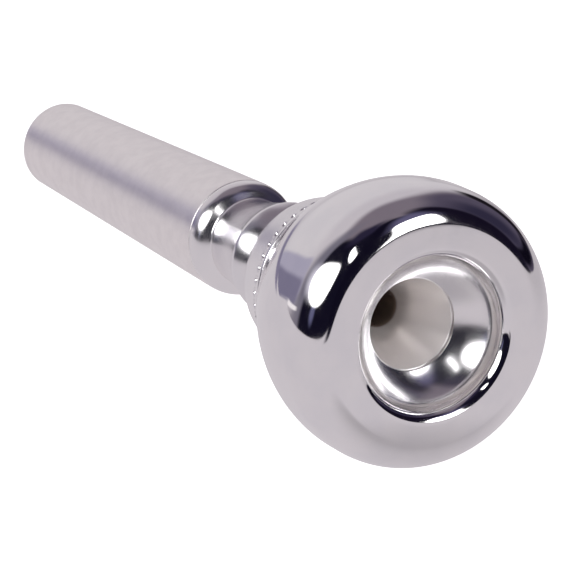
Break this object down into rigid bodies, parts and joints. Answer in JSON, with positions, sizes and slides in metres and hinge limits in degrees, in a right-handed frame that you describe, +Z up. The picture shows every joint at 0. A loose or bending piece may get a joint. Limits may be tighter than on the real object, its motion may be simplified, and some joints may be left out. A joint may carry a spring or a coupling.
{
  "type": "brass instrument mouthpiece",
  "caption": "Trumpet-type cup mouthpiece with a screw-on polished rim, a waisted cup body and a screw-in satin shank that tapers to fit a receiver.",
  "frame": {"origin": "on the ground, under the middle of the mouthpiece's box, as it lies on the edge of its rim and the end of its shank", "axes": "+Y towards the end of the shank, +Z up; the mouthpiece's own axis dips 6.38 degrees below +Y towards the shank's end"},
  "size_m": [0.0276, 0.0884, 0.0277],
  "materials": {
    "polished_silver_plate": "silver plated and mirror polished",
    "satin_silver_plate": "silver plated, satin, as turned",
    "seal_rubber": "moulded, matt"
  },
  "bodies": {
    "cup_body": {"cup_body": "polished_silver_plate"},
    "rim_seal": {"rim_seal": "seal_rubber"},
    "rim": {"rim": "polished_silver_plate"},
    "shank_seal": {"shank_seal": "seal_rubber"},
    "shank": {"shank": "satin_silver_plate"}
  },
  "joints": [
    {"name": "rim_turn", "type": "hinge", "parent": "cup_body", "child": "rim_seal", "pos_m": [0, -0.02893, 0.01289], "axis": [0, -0.9938, 0.1111], "range_deg": [0, 1080]},
    {"name": "rim_travel", "type": "slide", "parent": "rim_seal", "child": "rim", "axis": [0, -0.9938, 0.1111], "range_m": [0, 0.003]},
    {"name": "shank_travel", "type": "slide", "parent": "cup_body", "child": "shank_seal", "axis": [0, 0.9938, -0.1111], "range_m": [0, 0.003]},
    {"name": "shank_turn", "type": "hinge", "parent": "shank_seal", "child": "shank", "pos_m": [0, -0.0026, 0.00995], "axis": [0, 0.9938, -0.1111], "range_deg": [0, 1080]}
  ],
  "couplings": [
    {"joint": "rim_turn", "follows": "rim_travel", "rad_per_m": 6283.2},
    {"joint": "shank_turn", "follows": "shank_travel", "rad_per_m": 6283.2}
  ]
}
